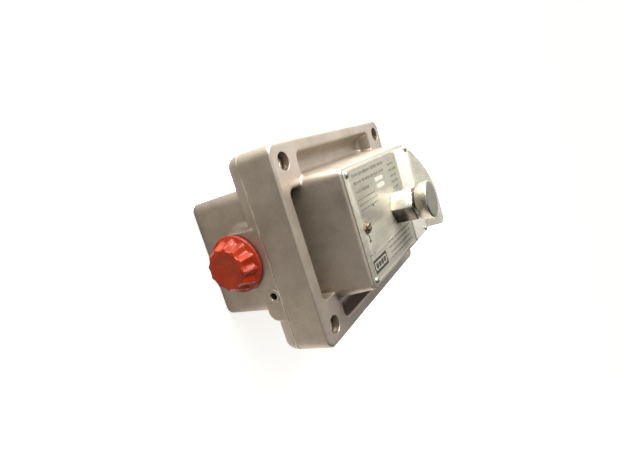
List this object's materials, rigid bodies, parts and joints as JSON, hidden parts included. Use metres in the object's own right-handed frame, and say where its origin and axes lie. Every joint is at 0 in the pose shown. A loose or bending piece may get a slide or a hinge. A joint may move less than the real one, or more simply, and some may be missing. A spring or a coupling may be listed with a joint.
{
  "type": "vibration switch",
  "caption": "Explosion-proof vibration switch in a flanged cast case with a raised front box, hexagonal reset button bushing, clear guard and a plugged side conduit entry.",
  "frame": {"origin": "centre of the flat back face of the body", "axes": "+Z out of the nameplate along the button, +X along the nameplate's reading direction (conduit entry on the -X side), +Y up the nameplate"},
  "size_m": [0.1583, 0.1064, 0.12],
  "materials": {
    "cast_grey": "satin sand-cast aluminium, lightly tumbled",
    "steel": "plain zinc-plated steel",
    "plated": "bright nickel-plated brass",
    "cap_metal": "turned, satin end face",
    "nameplate": "printed anodised sheet",
    "clear": "clear formed polycarbonate sheet",
    "brass": "machined brass",
    "red_plastic": "moulded orange-red polyethylene",
    "black_rubber": "nitrile rubber",
    "black_plastic": "moulded phenolic",
    "red_button": "moulded nylon",
    "magnet": "cast magnet alloy, ground ends",
    "wire_red": "PVC insulation",
    "wire_blue": "PVC insulation",
    "wire_white": "PVC insulation"
  },
  "bodies": {
    "housing": {"body_housing": "cast_grey", "cover": "cast_grey", "cover_seal": "black_rubber", "plunger_seal": "black_rubber", "cover_screw_1": "steel", "cover_screw_2": "steel", "cover_screw_3": "steel", "cover_screw_4": "steel", "nameplate_screw_1": "steel", "nameplate_screw_2": "steel", "nameplate_screw_3": "steel", "nameplate_screw_4": "steel", "button_locknut": "steel", "return_spring": "steel", "range_spring": "steel", "mechanism_plate": "steel", "mechanism_screw_1": "steel", "mechanism_screw_2": "steel", "mechanism_screw_3": "steel", "mechanism_screw_4": "steel", "pivot_bracket": "steel", "pivot_pin": "steel", "magnet_post": "steel", "stop_bracket": "steel", "switch_bracket": "steel", "switch_screw_1": "steel", "switch_screw_2": "steel", "nameplate": "nameplate", "button_guard": "clear", "button_bushing": "plated", "setpoint_bushing": "brass", "terminal_screw_1": "brass", "terminal_screw_2": "brass", "terminal_screw_3": "brass", "latch_magnet": "magnet", "snap_switch": "black_plastic", "terminal_block": "black_plastic", "lead_wire_1": "wire_red", "lead_wire_2": "wire_blue", "lead_wire_3": "wire_white"},
    "reset_button": {"button_cap": "cap_metal", "reset_plunger": "steel", "retaining_ring": "steel"},
    "tripping_arm": {"armature": "steel", "inertia_weight": "brass", "weight_screw": "steel"},
    "switch_button": {"switch_plunger": "red_button"},
    "setpoint_adjuster": {"setpoint_screw": "plated"},
    "spring_carrier": {"spring_nut": "brass"},
    "plug": {"conduit_plug": "red_plastic"}
  },
  "joints": [
    {"name": "reset_press", "type": "slide", "parent": "housing", "child": "reset_button", "axis": [0, 0, -1], "range_m": [0, 0.0018], "deforming": ["return_spring"]},
    {"name": "arm_reset", "type": "hinge", "parent": "housing", "child": "tripping_arm", "pos_m": [0.042, 0, 0.038], "axis": [0, 1, 0], "range_deg": [-3, 0], "deforming": ["range_spring"]},
    {"name": "switch_press", "type": "slide", "parent": "housing", "child": "switch_button", "axis": [0, 0, -1], "range_m": [0, 0.0009]},
    {"name": "setpoint_turn", "type": "hinge", "parent": "housing", "child": "setpoint_adjuster", "pos_m": [-0.042, -0.001, 0.098], "axis": [0, 0, 1], "range_deg": [-180, 180]},
    {"name": "spring_nut_travel", "type": "slide", "parent": "housing", "child": "spring_carrier", "axis": [0, 0, 1], "range_m": [-0.000349, 0.000349]},
    {"name": "plug_out", "type": "slide", "parent": "housing", "child": "plug", "axis": [-1, 0, 0], "range_m": [0, 0.02]}
  ],
  "couplings": [
    {"joint": "arm_reset", "follows": "reset_press", "rad_per_m": -29.08},
    {"joint": "switch_press", "follows": "reset_press", "ratio": 0.5},
    {"joint": "setpoint_turn", "follows": "spring_nut_travel", "rad_per_m": -8976}
  ]
}
